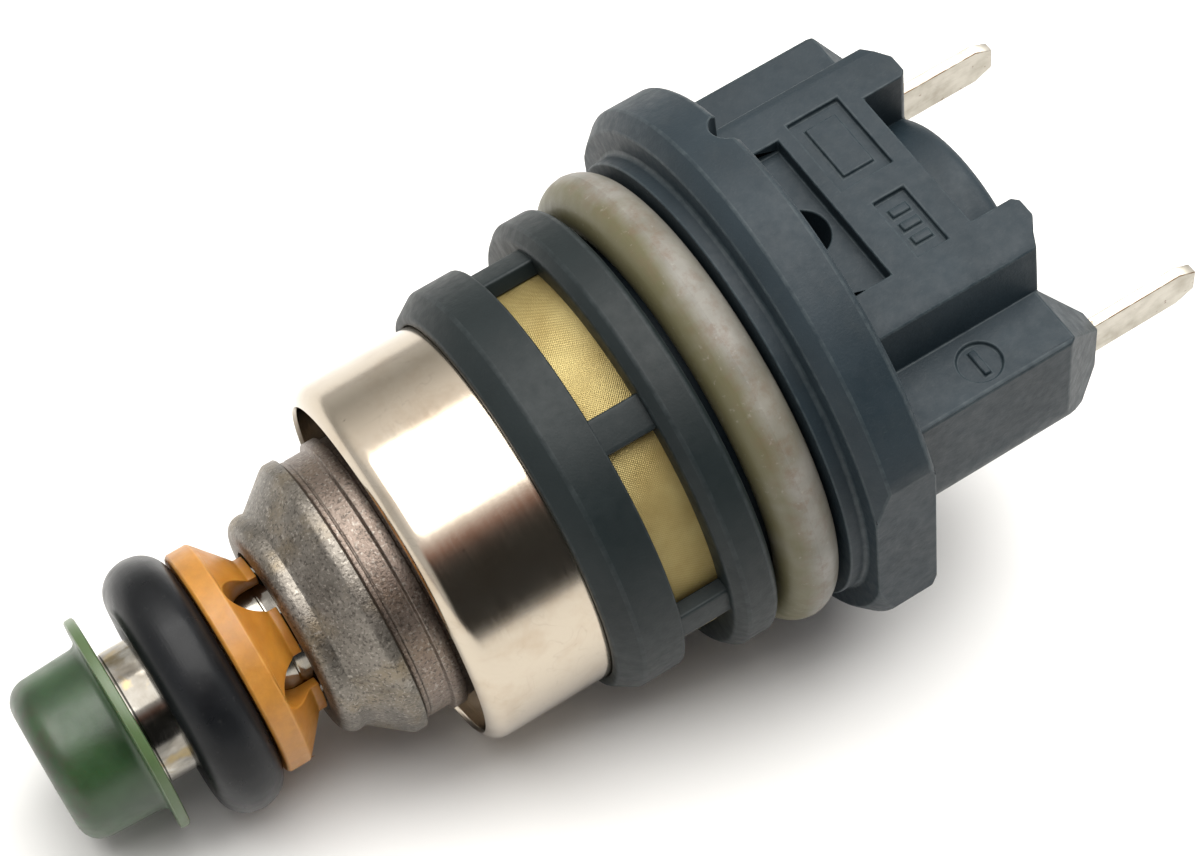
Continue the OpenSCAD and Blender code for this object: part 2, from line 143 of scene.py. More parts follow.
def heightZ(tree, low, high):
    # 0 below low and 1 above high, both in millimetres on the axis
    spot = addNode(tree, "ShaderNodeTexCoord").outputs["Object"]
    level = addNode(tree, "ShaderNodeSeparateXYZ", {0: spot}).outputs["Z"]
    inputs = {"Value": level, "From Min": low * mm, "From Max": high * mm}
    return addNode(tree, "ShaderNodeMapRange", inputs, clamp=True).outputs[0]


def reach(tree, low, high):
    # 0 inside radius low and 1 outside radius high, in millimetres about the axis
    spot = addNode(tree, "ShaderNodeTexCoord").outputs["Object"]
    flat = addNode(tree, "ShaderNodeVectorMath", {0: spot, 1: (1, 1, 0)}, operation="MULTIPLY")
    far = addNode(tree, "ShaderNodeVectorMath", {0: flat.outputs[0]}, operation="LENGTH")
    inputs = {"Value": far.outputs["Value"], "From Min": low * mm, "From Max": high * mm}
    return addNode(tree, "ShaderNodeMapRange", inputs, clamp=True).outputs[0]


def edgeWear(tree, size=0.5, keep=(0.3, 0.75)):
    # rubbed edges: the bevelled faces, broken up by a noise
    rubbed = addNode(tree, "ShaderNodeAttribute", attribute_name="edgeWear").outputs["Fac"]
    return share(tree, rubbed, patches(tree, speckle(tree, where(tree), size, 4), *keep))


def startFinish(name, **sockets):
    finish = bpy.data.materials.new(name)
    finish.use_nodes = True
    tree = finish.node_tree
    shader = tree.nodes["Principled BSDF"]
    for key, value in sockets.items():
        shader.inputs[key.replace("_", " ")].default_value = value
    return finish, tree, shader


def wire(tree, shader, **links):
    for key, value in links.items():
        tree.links.new(value, shader.inputs[key.replace("_", " ")])


# finishes

def mouldedPlastic(name, looks):
    finish, tree, shader = startFinish(name, IOR=1.46, Specular_IOR_Level=looks["shine"])
    spot = where(tree)
    clouds = patches(tree, speckle(tree, spot, 4.5, 4), 0.35, 0.68)
    base = blendTone(tree, clouds, looks["deep"], looks["pale"])
    fibres = speckle(tree, where(tree, (1, 1, 0.22), turn=(0.4, 0.2, 0.3)), 0.07, 2)
    base = blendTone(tree, patches(tree, fibres, 0.6, 0.74, looks["fibre"]), base, looks["worn"])
    dust = patches(tree, speckle(tree, spot, 1.6, 6, 0.65), 0.56, 0.8, looks["dust"])
    base = blendTone(tree, dust, base, looks["dustTone"])
    base = blendTone(tree, share(tree, edgeWear(tree), looks["wear"]), base, looks["worn"])
    rough = between(tree, speckle(tree, spot, 0.6, 4), looks["rough"])
    skin = relief(tree, speckle(tree, spot, 3.2, 2), looks["sink"])
    skin = relief(tree, speckle(tree, spot, 0.16, 3), looks["grain"], skin)
    wire(tree, shader, Base_Color=base, Roughness=rough, Normal=skin)
    return finish


def platedNickel(name, looks):
    finish, tree, shader = startFinish(name, Metallic=1.0)
    spot = where(tree)
    stain = patches(tree, speckle(tree, spot, 3.0, 6, 0.6), 0.5, 0.72, looks["stain"])
    base = blendTone(tree, stain, looks["plate"], looks["stained"])
    hair = speckle(tree, spot, 3.0, 1.5, 0.5, 1.6)
    hair = ramp(tree, hair, [(0.495, 0.0), (0.5, looks["hair"]), (0.505, 0.0)])
    base = blendTone(tree, hair, base, looks["hairTone"])
    pits = patches(tree, speckle(tree, spot, 0.5, 2), 0.76, 0.79, looks["pits"])
    base = blendTone(tree, pits, base, looks["hairTone"])
    lines = speckle(tree, where(tree, (0.02, 0.02, 1)), looks["lineWidth"], 3, 0.6)
    rough = ramp(tree, lines, [(0.3, looks["rough"][0]), (0.75, looks["rough"][1])])
    skin = relief(tree, lines, looks["lines"])
    skin = relief(tree, speckle(tree, spot, 2.5, 2), looks["dents"], skin)
    wire(tree, shader, Base_Color=base, Roughness=rough, Normal=skin)
    return finish


def blastedSteel(name, looks):
    finish, tree, shader = startFinish(name, Metallic=1.0)
    spot = where(tree)
    clouds = patches(tree, speckle(tree, spot, 2.2, 5), 0.35, 0.65)
    base = blendTone(tree, clouds, looks["dark"], looks["pale"])
    gold = speckle(tree, where(tree, shift=(0.02, 0, 0.01)), 2.8, 3)
    base = blendTone(tree, patches(tree, gold, 0.5, 0.7, looks["gold"]), base, looks["golden"])
    land = heightZ(tree, looks["landFrom"], looks["landFrom"] + 0.05)
    base = blendTone(tree, share(tree, land, looks["landTint"]), base, looks["landTone"])
    specks = ramp(tree, speckle(tree, spot, 0.18, 2), [(0.34, looks["specks"]), (0.48, 0.0)])
    base = blendTone(tree, specks, base, looks["grime"])
    flecks = speckle(tree, where(tree, shift=(0.03, 0, 0)), 0.17, 2)
    base = blendTone(tree, patches(tree, flecks, 0.56, 0.7, looks["flecks"]), base, looks["fleckTone"])
    base = blendTone(tree, share(tree, edgeWear(tree, 1.4), looks["wear"]), base, looks["pale"])
    rough = between(tree, speckle(tree, spot, 0.3, 3), looks["rough"])
    rings = speckle(tree, where(tree, (0.02, 0.02, 1)), 0.07, 2)
    skin = relief(tree, speckle(tree, spot, 0.13, 3, 0.6), looks["grit"])
    skin = relief(tree, rings, looks["rings"], skin)
    wire(tree, shader, Base_Color=base, Roughness=rough, Normal=skin)
    return finish


def brightSteel(name, looks):
    finish, tree, shader = startFinish(name, Metallic=1.0)
    spot = where(tree)
    clouds = patches(tree, speckle(tree, spot, 1.5, 4), 0.4, 0.7)
    base = blendTone(tree, clouds, looks["pale"], looks["dark"])
    # painted reflection: dark patches stand in for the dark ring and room mirrored in the stem
    paintedReflection = speckle(tree, where(tree, (1, 1, 0.5)), 3.4, 4)
    paintedReflection = patches(tree, paintedReflection, 0.42, 0.56, looks["paintedReflection"])
    base = blendTone(tree, paintedReflection, base, looks["darkReflectionTone"])
    # painted reflection: warm gold patches at the same level, none where the level is 0
    gold = speckle(tree, where(tree, shift=(0.01, 0.02, 0)), 2.0, 3)
    base = blendTone(tree, patches(tree, gold, 0.55, 0.65, looks["paintedReflection"]), base, looks["goldReflectionTone"])
    lines = speckle(tree, where(tree, (0.03, 0.03, 1)), 0.05, 3)
    rough = between(tree, lines, looks["rough"])
    wire(tree, shader, Base_Color=base, Roughness=rough, Normal=relief(tree, lines, looks["lines"]))
    return finish


def capPlastic(name, looks):
    finish, tree, shader = startFinish(name, IOR=1.5, Subsurface_Weight=looks["glow"],
                                       Subsurface_Scale=0.6 * mm)
    spot = where(tree)
    clouds = patches(tree, speckle(tree, spot, 2.4, 4), 0.35, 0.7)
    base = blendTone(tree, clouds, looks["deep"], looks["pale"])
    # painted glow: paler towards the thin outer rim, standing in for light shining through the thin
    # plastic
    rim = share(tree, reach(tree, *looks["rimFrom"]), looks["rimTint"])
    base = blendTone(tree, rim, base, looks["rim"])
    front = maths(tree, "SUBTRACT", 1.0, heightZ(tree, *looks["dirtTo"]))
    dirt = patches(tree, speckle(tree, spot, 0.8, 6, 0.7), 0.4, 0.62, looks["dirt"])
    base = blendTone(tree, share(tree, dirt, front), base, looks["dirtTone"])
    # worn edges take the same pale tone as the painted rim glow
    base = blendTone(tree, share(tree, edgeWear(tree, 0.7), looks["wear"]), base, looks["rim"])
    specks = patches(tree, speckle(tree, spot, 0.5, 2), 0.77, 0.82, looks["specks"])
    base = blendTone(tree, specks, base, looks["dirtTone"])
    rough = between(tree, speckle(tree, spot, 0.7, 4), looks["rough"])
    skin = relief(tree, speckle(tree, spot, 0.9, 3), looks["wavy"])
    skin = relief(tree, speckle(tree, spot, 0.12, 2), looks["grain"], skin)
    wire(tree, shader, Base_Color=base, Roughness=rough, Normal=skin)
    return finish


def sealRubber(name, looks):
    finish, tree, shader = startFinish(name, IOR=1.46, Specular_IOR_Level=looks["shine"])
    spot = where(tree)
    clouds = patches(tree, speckle(tree, spot, 3.0, 5), 0.35, 0.7)
    base = blendTone(tree, clouds, looks["deep"], looks["pale"])
    if "stain" in looks:
        wander = maths(tree, "SUBTRACT", speckle(tree, spot, 3.5, 4), 0.5)
        edge = maths(tree, "ADD", heightZ(tree, *looks["stainTo"]), share(tree, wander, 1.8))
        side = maths(tree, "SUBTRACT", 1.0, edge, True)
        base = blendTone(tree, share(tree, side, looks["stainLevel"]), base, looks["stain"])
        crown = share(tree, reach(tree, *looks["crownFrom"]), looks["rustLevel"])
        rust = patches(tree, speckle(tree, spot, 0.8, 6, 0.7), 0.46, 0.64)
        base = blendTone(tree, share(tree, rust, crown), base, looks["rust"])
    dust = patches(tree, speckle(tree, spot, 0.35, 3), 0.64, 0.74, looks["dust"])
    base = blendTone(tree, dust, base, looks["dustTone"])
    rough = between(tree, speckle(tree, spot, 1.1, 4), looks["rough"])
    skin = relief(tree, speckle(tree, spot, 1.8, 3), looks["wavy"])
    skin = relief(tree, speckle(tree, where(tree, (0.12, 0.12, 1)), 0.12, 3), looks["grain"], skin)
    wire(tree, shader, Base_Color=base, Roughness=rough, Normal=skin)
    return finish


def tinPlate(name, looks):
    finish, tree, shader = startFinish(name, Metallic=1.0)
    spot = where(tree)
    clouds = patches(tree, speckle(tree, spot, 1.4, 5), 0.4, 0.72)
    base = blendTone(tree, clouds, looks["tin"], looks["dull"])
    worn = share(tree, edgeWear(tree, 1.2, (0.35, 0.5)), looks["wear"])
    base = blendTone(tree, worn, base, looks["brass"])
    spots = patches(tree, speckle(tree, spot, 0.5, 3), 0.67, 0.72, looks["spots"])
    base = blendTone(tree, spots, base, looks["tarnish"])
    streaks = speckle(tree, where(tree, (1, 1, 0.06)), 0.08, 3)
    rough = between(tree, streaks, looks["rough"])
    wire(tree, shader, Base_Color=base, Roughness=rough, Normal=relief(tree, streaks, looks["lines"]))
    return finish


def wovenMesh(name, looks):
    finish, tree, shader = startFinish(name, IOR=1.5, Metallic=looks["metal"])
    spot = where(tree)
    parts = addNode(tree, "ShaderNodeSeparateXYZ", {0: spot})
    angle = maths(tree, "ARCTAN2", parts.outputs["Y"], parts.outputs["X"])
    warpWire = maths(tree, "SINE", share(tree, angle, looks["wiresRound"]))
    perMetre = 2 * math.pi / (looks["pitch"] * mm)
    weftWire = maths(tree, "SINE", share(tree, parts.outputs["Z"], perMetre))
    weave = share(tree, warpWire, weftWire)
    clouds = patches(tree, speckle(tree, spot, 2.6, 5), 0.35, 0.7)
    base = blendTone(tree, clouds, looks["pale"], looks["deep"])
    # painted shade: darker where the weave dips between the wires
    base = blendTone(tree, ramp(tree, weave, [(0.0, looks["shade"]), (0.6, 0.0)]), base, looks["deep"])
    dirt = patches(tree, speckle(tree, spot, 0.5, 4), 0.68, 0.76, looks["dirt"])
    base = blendTone(tree, dirt, base, looks["dirtTone"])
    rough = between(tree, speckle(tree, spot, 0.8, 3), looks["rough"])
    skin = relief(tree, weave, looks["weave"])
    skin = relief(tree, speckle(tree, spot, 1.6, 3), looks["wavy"], skin)
    holes = addNode(tree, "ShaderNodeBsdfTransparent").outputs[0]
    sheer = addNode(tree, "ShaderNodeMixShader", {0: looks["sheer"], 1: shader.outputs[0], 2: holes})
    tree.links.new(sheer.outputs[0], tree.nodes["Material Output"].inputs["Surface"])
    wire(tree, shader, Base_Color=base, Roughness=rough, Normal=skin)
    return finish


def plainMetal(name, looks):
    finish, tree, shader = startFinish(name, Metallic=1.0)
    spot = where(tree)
    clouds = patches(tree, speckle(tree, spot, 1.2, 4), 0.35, 0.7)
    base = blendTone(tree, clouds, looks["pale"], looks["dark"])
    fine = speckle(tree, where(tree, (0.15, 0.15, 1)), 0.1, 3)
    rough = between(tree, fine, looks["rough"])
    wire(tree, shader, Base_Color=base, Roughness=rough, Normal=relief(tree, fine, looks["lines"]))
    return finish


finishes = {
    "housing": mouldedPlastic("housingPlastic", {
        "deep": (0.0095, 0.0175, 0.0235), "pale": (0.0145, 0.0245, 0.032),
        "worn": (0.075, 0.095, 0.1), "fibre": 0.1, "shine": 0.3, "dust": 0.22,
        "dustTone": (0.036, 0.043, 0.043), "wear": 0.35, "rough": (0.46, 0.6), "sink": 0.02,
        "grain": 0.012}),
    "cage": mouldedPlastic("cagePlastic", {
        "deep": (0.0055, 0.0095, 0.0105), "pale": (0.0085, 0.0135, 0.0145),
        "worn": (0.045, 0.055, 0.058), "fibre": 0.06, "shine": 0.26, "dust": 0.15,
        "dustTone": (0.035, 0.037, 0.036), "wear": 0.3, "rough": (0.44, 0.56), "sink": 0.015,
        "grain": 0.008}),
    "can": platedNickel("canNickel", {
        "plate": (0.485, 0.425, 0.345), "stained": (0.34, 0.25, 0.165), "stain": 0.45, "hair": 0.14,
        "hairTone": (0.12, 0.1, 0.08), "pits": 0.6, "lineWidth": 0.05, "lines": 0.003,
        "dents": 0.006, "rough": (0.11, 0.2)}),
    "carrier": blastedSteel("blastedSteel", {
        "dark": (0.11, 0.1, 0.086), "pale": (0.21, 0.192, 0.168), "golden": (0.215, 0.165, 0.095),
        "gold": 0.55, "landFrom": 17.95, "landTint": 0.6, "landTone": (0.19, 0.138, 0.112),
        "specks": 0.65, "grime": (0.05, 0.044, 0.038), "rough": (0.36, 0.5), "grit": 0.026,
        "rings": 0.002, "flecks": 0.6, "fleckTone": (0.36, 0.33, 0.29), "wear": 0.35}),
    "polished": brightSteel("polishedSteel", {
        "pale": (0.6, 0.58, 0.53), "dark": (0.42, 0.39, 0.33), "rough": (0.1, 0.24), "lines": 0.001,
        "paintedReflection": 0.0, "darkReflectionTone": (0.05, 0.045, 0.04), "goldReflectionTone": (0.3, 0.22, 0.1)}),
    # the stem carries painted reflections: dark and gold patches
    "stem": brightSteel("stemSteel", {
        "pale": (0.6, 0.58, 0.53), "dark": (0.36, 0.33, 0.28), "rough": (0.08, 0.2), "lines": 0.001,
        "paintedReflection": 0.8, "darkReflectionTone": (0.05, 0.045, 0.038), "goldReflectionTone": (0.26, 0.2, 0.1)}),
    "orange": capPlastic("orangePlastic", {
        "deep": (0.34, 0.13, 0.013), "pale": (0.42, 0.178, 0.022), "rim": (0.58, 0.31, 0.07),
        "rimFrom": (6.2, 6.5), "rimTint": 0.25, "dirtTo": (9.0, 16.5), "dirt": 0.35,
        "dirtTone": (0.16, 0.07, 0.02), "wear": 0.3, "specks": 0.5, "glow": 0.12,
        "rough": (0.34, 0.5), "wavy": 0.006, "grain": 0.004}),
    "green": capPlastic("greenPlastic", {
        "deep": (0.011, 0.033, 0.01), "pale": (0.024, 0.06, 0.02), "rim": (0.1, 0.15, 0.062),
        "rimFrom": (4.7, 6.2), "rimTint": 0.6, "dirtTo": (0.4, 1.8), "dirt": 0.75,
        "dirtTone": (0.03, 0.025, 0.015), "wear": 0.35, "specks": 0.5, "glow": 0.12,
        "rough": (0.3, 0.42), "wavy": 0.004, "grain": 0.002}),
    "blackSeal": sealRubber("blackRubber", {
        "deep": (0.005, 0.0055, 0.0065), "pale": (0.009, 0.01, 0.0115), "dust": 0.18,
        "dustTone": (0.05, 0.05, 0.05), "rough": (0.26, 0.38), "wavy": 0.016, "grain": 0.006,
        "shine": 0.2}),
    "greySeal": sealRubber("greyRubber", {
        "deep": (0.15, 0.144, 0.122), "pale": (0.225, 0.216, 0.193), "dust": 0.25,
        "dustTone": (0.33, 0.32, 0.29), "stain": (0.088, 0.08, 0.03), "stainTo": (37.8, 38.7),
        "stainLevel": 0.85, "crownFrom": (12.9, 13.5), "rustLevel": 0.55,
        "rust": (0.125, 0.078, 0.05), "rough": (0.4, 0.55), "wavy": 0.02, "grain": 0.006,
        "shine": 0.4}),
    "tin": tinPlate("bladeTin", {
        "tin": (0.53, 0.5, 0.44), "dull": (0.36, 0.33, 0.275), "brass": (0.17, 0.1, 0.055),
        "wear": 0.9, "tarnish": (0.14, 0.08, 0.05), "spots": 0.8, "rough": (0.42, 0.56),
        "lines": 0.004}),
    "mesh": wovenMesh("filterMesh", {
        "pale": (0.44, 0.36, 0.15), "deep": (0.29, 0.215, 0.075), "shade": 0.35, "dirt": 0.5,
        "dirtTone": (0.2, 0.13, 0.05), "metal": 0.74, "wiresRound": 480, "pitch": 0.144,
        "weave": 0.012, "wavy": 0.03, "sheer": 0.22, "rough": (0.3, 0.46)}),
    "core": plainMetal("magneticSteel", {
        "pale": (0.46, 0.45, 0.43), "dark": (0.32, 0.31, 0.29), "rough": (0.3, 0.45), "lines": 0.003}),
    "spring": plainMetal("springSteel", {
        "pale": (0.55, 0.54, 0.52), "dark": (0.38, 0.37, 0.35), "rough": (0.22, 0.35),
        "lines": 0.002}),
    "brass": plainMetal("brassTube", {
        "pale": (0.72, 0.52, 0.2), "dark": (0.5, 0.34, 0.12), "rough": (0.25, 0.4), "lines": 0.002}),
    "copper": plainMetal("windingCopper", {
        "pale": (0.62, 0.26, 0.12), "dark": (0.42, 0.15, 0.07), "rough": (0.22, 0.34),
        "lines": 0.002}),
    "bobbin": mouldedPlastic("bobbinPlastic", {
        "deep": (0.11, 0.055, 0.028), "pale": (0.16, 0.085, 0.045), "worn": (0.26, 0.17, 0.1),
        "shine": 0.4, "fibre": 0.2, "dust": 0.1, "dustTone": (0.2, 0.14, 0.1), "wear": 0.2,
        "rough": (0.4, 0.55), "sink": 0.01, "grain": 0.006}),
}
print("finishes ready:", len(finishes))


# small helpers for shapes

def span(node):
    # lowest and highest z and the outer radius of a node, in millimetres
    low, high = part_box(node)
    return low.z / mm, high.z / mm, high.y / mm


def turned(outline, steps=192):
    # a closed outline of (radius, height) points in millimetres, spun round the axis
    bm = bmesh.new()
    verts = [bm.verts.new((r * mm, 0, z * mm)) for r, z in outline]
    edges = [bm.edges.new(pair) for pair in zip(verts, verts[1:] + verts[:1])]
    bmesh.ops.spin(bm, geom=verts + edges, cent=(0, 0, 0), axis=(0, 0, 1), dvec=(0, 0, 0),
                   angle=2 * math.pi, steps=steps, use_merge=True)
    bmesh.ops.remove_doubles(bm, verts=bm.verts, dist=1e-7)
    bmesh.ops.recalc_face_normals(bm, faces=bm.faces)
    return bm


def copyOfNode(node):
    bm = bmesh.new()
    bm.from_mesh(nodes[node].data)
    bmesh.ops.remove_doubles(bm, verts=bm.verts, dist=2e-6)
    bmesh.ops.dissolve_limit(bm, angle_limit=math.radians(0.4), verts=bm.verts, edges=bm.edges,
                             use_dissolve_boundaries=False)
    return bm


def softenEdges(bm, width, segments=2, above=28):
    # rounds every edge sharper than the angle and marks the new faces as rubbed
    angle = math.radians(above)
    sharp = [e for e in bm.edges if len(e.link_faces) == 2 and e.calc_face_angle(0) > angle]
    made = bmesh.ops.bevel(bm, geom=sharp, offset=width * mm, offset_type="OFFSET", affect="EDGES",
                           segments=segments, profile=0.5, clamp_overlap=False, material=-1)
    rubbed = bm.loops.layers.float.get("edgeWear") or bm.loops.layers.float.new("edgeWear")
    for face in made["faces"]:
        for corner in face.loops:
            corner[rubbed] = 1.0
    return bm


def arc(centre, radius, first, last, steps):
    # points on a circle about centre, from one angle to the other in degrees
    points = []
    for i in range(steps + 1):
        turn = math.radians(first + (last - first) * i / steps)
        points.append((centre[0] + radius * math.cos(turn), centre[1] + radius * math.sin(turn)))
    return points


def turnAbout(bm, degrees, axis):
    matrix = Matrix.Rotation(math.radians(degrees), 3, axis)
    bmesh.ops.rotate(bm, cent=(0, 0, 0), matrix=matrix, verts=bm.verts)


def putPiece(name, bm, finish, slotName, *replaced, body="injector_body", sharp=40):
    mesh = bpy.data.meshes.new(name)
    bm.to_mesh(mesh)
    bm.free()
    mesh.polygons.foreach_set("use_smooth", [True] * len(mesh.polygons))
    mesh.set_sharp_from_angle(angle=math.radians(sharp))
    mesh.materials.append(finishes[finish])
    piece = bpy.data.objects.new(name, mesh)
    bpy.context.scene.collection.objects.link(piece)
    weighted = piece.modifiers.new("evenShading", "WEIGHTED_NORMAL")
    weighted.keep_sharp = True
    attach(piece, body)
    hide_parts(*replaced)
    print(name, len(mesh.polygons), "faces")
    return piece


def joinInto(bm, other):
    mesh = bpy.data.meshes.new("part")
    other.to_mesh(mesh)
    other.free()
    bm.from_mesh(mesh)
    bpy.data.meshes.remove(mesh)


# connector housing

housing = {"edge": 0.11, "segments": 2}
bm = softenEdges(copyOfNode("connector_housing"), housing["edge"], housing["segments"])
putPiece("connectorHousing", bm, "housing", "housing_plastic", "connector_housing")


# blades

blade = {"edge": 0.05, "segments": 2}
for name, node in (("minusBlade", "terminal_minus"), ("plusBlade", "terminal_plus")):
    bm = softenEdges(copyOfNode(node), blade["edge"], blade["segments"])
    putPiece(name, bm, "tin", "blade_tin", node)


# O-rings: cord with a fine mould line at its waist

def cordRing(name, node, finish, slotName, looks):
    low, high, outer = span(node)
    cord = looks["cord"]
    half = (high - low) / 2 - cord
    outline = []
    for start, shift in ((0, half), (math.pi, -half)):
        for i in range(looks["sides"] // 2 + 1):
            turn = start + 2 * math.pi * i / looks["sides"]
            r = cord - (0 if i in (0, looks["sides"] // 2) else looks["flash"])
            level = (low + high) / 2 + shift
            outline.append((outer - cord + r * math.cos(turn), level + r * math.sin(turn)))
    bm = turned(outline, looks["steps"])
    middle = Vector((0, 0, (low + high) / 2 * mm))
    for vert in bm.verts:  # rubber is never quite even
        flat = Vector((vert.co.x, vert.co.y, 0))
        core = flat.normalized() * (outer - cord) * mm + middle
        away = vert.co - core
        lump = noise.noise(vert.co * looks["lumps"])
        vert.co = core + away * (1 - looks["uneven"] * (0.5 + 0.5 * lump))
    putPiece(name, bm, finish, slotName, node)


cordRing("lowerSealRing", "lower_o_ring", "blackSeal", "black_rubber",
         {"cord": 1.77, "sides": 48, "steps": 160, "flash": 0.018, "uneven": 0.012, "lumps": 260})
cordRing("upperSealRing", "upper_o_ring", "greySeal", "grey_rubber",
         {"cord": 1.74, "sides": 48, "steps": 224, "flash": 0.02, "uneven": 0.012, "lumps": 260})


# filter cage: two rings, six pillars

cage = {"pillars": 6, "pillarTurn": -2.4, "pillarWide": 2.0, "lowRadius": 12.0, "lowChamfer": 0.55,
        "topChamfer": 0.3, "edge": 0.14, "slack": 0.02, "steps": 216}
low, high, topR = span("filter_cage")
meshLow, meshHigh, meshR = span("filter_mesh")
lowR = cage["lowRadius"]
inR = span("coil_can")[2] + 0.05
lowChamfer, topChamfer = cage["lowChamfer"], cage["topChamfer"]
bm = turned([(inR, low), (inR + lowChamfer, low), (lowR, low + 1.25), (lowR, meshLow),
             (inR, meshLow)], cage["steps"])
joinInto(bm, turned([(inR, meshHigh), (topR - 0.55, meshHigh), (topR, meshHigh + 0.6),
                     (topR, high - topChamfer), (topR - topChamfer, high), (inR, high)], cage["steps"]))
postLow = meshR + cage["slack"]
deep = lowR - 0.05 - postLow
tall = meshHigh - meshLow + 0.5
for i in range(cage["pillars"]):
    post = bmesh.new()
    bmesh.ops.create_cube(post, size=1)
    bmesh.ops.scale(post, vec=(deep * mm, cage["pillarWide"] * mm, tall * mm), verts=post.verts)
    across = [e for e in post.edges if abs((e.verts[0].co - e.verts[1].co).y) > 1e-5]
    bmesh.ops.subdivide_edges(post, edges=across, cuts=6, use_grid_fill=True)
    middle = ((postLow + deep / 2) * mm, 0, (meshLow + meshHigh) / 2 * mm)
    bmesh.ops.translate(post, vec=middle, verts=post.verts)
    for vert in post.verts:  # both faces follow the round of the cage
        vert.co.x = math.sqrt(max(vert.co.x ** 2 - vert.co.y ** 2, 0))
    turnAbout(post, i * 360 / cage["pillars"] + cage["pillarTurn"], "Z")
    joinInto(bm, post)
softenEdges(bm, cage["edge"], 3)
putPiece("filterCage", bm, "cage", "cage_plastic", "filter_cage")


# filter mesh: thin sleeve that sags a little between the pillars

sleeve = {"rows": 14, "sag": 0.05, "thick": 0.2, "steps": 288, "lumps": 400}
meshTall = meshHigh - meshLow
outline = [(meshR, meshLow + meshTall * i / sleeve["rows"]) for i in range(sleeve["rows"] + 1)]
outline += [(meshR - sleeve["thick"], z) for r, z in reversed(outline)]
bm = turned(outline, sleeve["steps"])
for vert in bm.verts:
    flat = Vector((vert.co.x, vert.co.y, 0))
    around = math.degrees(math.atan2(vert.co.y, vert.co.x)) - cage["pillarTurn"]
    between = 0.5 - 0.5 * math.cos(math.radians(around * cage["pillars"]))
    upright = 1 - (2 * (vert.co.z / mm - meshLow) / meshTall - 1) ** 2
    lump = 0.6 + 0.4 * noise.noise(vert.co * sleeve["lumps"])
    vert.co -= flat.normalized() * sleeve["sag"] * mm * between * upright * lump
putPiece("filterMesh", bm, "mesh", "filter_mesh", "filter_mesh")


# coil can: drawn shell, lips rolled, two inlets behind the mesh

can = {"wall": 0.9, "lip": 1.15, "shoulder": 0.8, "topHole": 8.9, "steps": 256,
       "inlet": 1.1, "inletZ": 32.2, "inletTurn": (-48, 132), "drillLong": 6}
low, high, outR = span("coil_can")
inR = outR - can["wall"]
lip, shoulder = can["lip"], can["shoulder"]
outline = [(inR + 0.02, low + 0.22), (inR + 0.12, low + 0.06)]
outline += arc((outR - lip, low + lip), lip, -68, 0, 7)
outline += [(outR, low + (high - low) * k) for k in (0.2, 0.4, 0.6, 0.8)]
outline += arc((outR - shoulder, high - shoulder), shoulder, 0, 90, 7)
washerTop = span("flux_washer")[1] + 0.02
outline += [(can["topHole"], high), (can["topHole"], washerTop), (inR, washerTop), (inR, low + 0.3)]
bm = turned(outline, can["steps"])
shell = putPiece("coilCan", bm, "can", "can_nickel", "coil_can", sharp=50)
for turn in can["inletTurn"]:
    drill = bmesh.new()
    inlet = can["inlet"] * mm
    bmesh.ops.create_cone(drill, cap_ends=True, segments=48, radius1=inlet, radius2=inlet,
                          depth=can["drillLong"] * mm)
    turnAbout(drill, 90, "Y")
    bmesh.ops.translate(drill, vec=(outR * mm, 0, can["inletZ"] * mm), verts=drill.verts)
    turnAbout(drill, turn, "Z")
    mesh = bpy.data.meshes.new("drill")
    drill.to_mesh(mesh)
    drill.free()
    cutter = bpy.data.objects.new("drill", mesh)
    bpy.context.scene.collection.objects.link(cutter)
    hole = shell.modifiers.new("inlet", "BOOLEAN")
    hole.object = cutter
    hole.solver = "EXACT"
    shell.modifiers.move(len(shell.modifiers) - 1, 0)
    bpy.context.view_layer.update()
    with bpy.context.temp_override(object=shell, active_object=shell, selected_objects=[shell]):
        bpy.ops.object.modifier_apply(modifier="inlet")
    bpy.data.objects.remove(cutter)
print("inlets cut in the can")


# valve carrier: blasted bead and cone, ridge, turned land with a fine groove

carrier = {"bead": 0.9, "beadRadius": 6.4, "ridgeRadius": 8.0, "landRadius": 7.65, "groove": 0.05,
           "crimpBore": 4.7, "sleeveBore": 4.92, "sleeveStep": 4.47, "webBore": 2.7, "slack": 0.02,
           "edge": 0.04, "steps": 208}
low, high, flangeR = span("valve_carrier")
landR, ridgeR, beadR = carrier["landRadius"], carrier["ridgeRadius"], carrier["beadRadius"]
collarBore = span("nozzle_body")[2] + carrier["slack"]
sleeveBore, sleeveStep, webBore = carrier["sleeveBore"], carrier["sleeveStep"], carrier["webBore"]
outline = [(carrier["crimpBore"], low)]
outline += arc((beadR - carrier["bead"], low + carrier["bead"]), carrier["bead"], -90, 0, 8)
outline += [(beadR - 0.01, low + 1.05), (beadR - 0.05, low + 1.22), (beadR + 0.1, low + 1.42),
            (ridgeR - 0.12, low + 3.1), (ridgeR, low + 3.32), (ridgeR, low + 3.92),
            (landR + 0.04, low + 4.05), (landR, low + 4.2), (landR, low + 4.3),
            (landR - carrier["groove"], low + 4.35), (landR - carrier["groove"], low + 4.4),
            (landR, low + 4.45), (landR, low + 5.5), (landR + 0.3, low + 5.62),
            (landR + 0.3, low + 6.35), (landR + 0.05, low + 6.4), (landR + 0.05, low + 8.1),
            (flangeR, low + 8.1), (flangeR, high), (sleeveBore, high), (sleeveBore, high - 0.9),
            (sleeveStep, high - 0.9), (sleeveStep, high - 2.3), (webBore, high - 2.3),
            (webBore, high - 3.5), (collarBore, high - 3.5), (collarBore, low + 0.9),
            (carrier["crimpBore"], low + 0.9)]
bm = turned(outline, carrier["steps"])
softenEdges(bm, carrier["edge"], 2, 40)
putPiece("valveCarrier", bm, "carrier", "blasted_steel", "valve_carrier")


# nozzle body: polished stem, collar, guide bore and seat

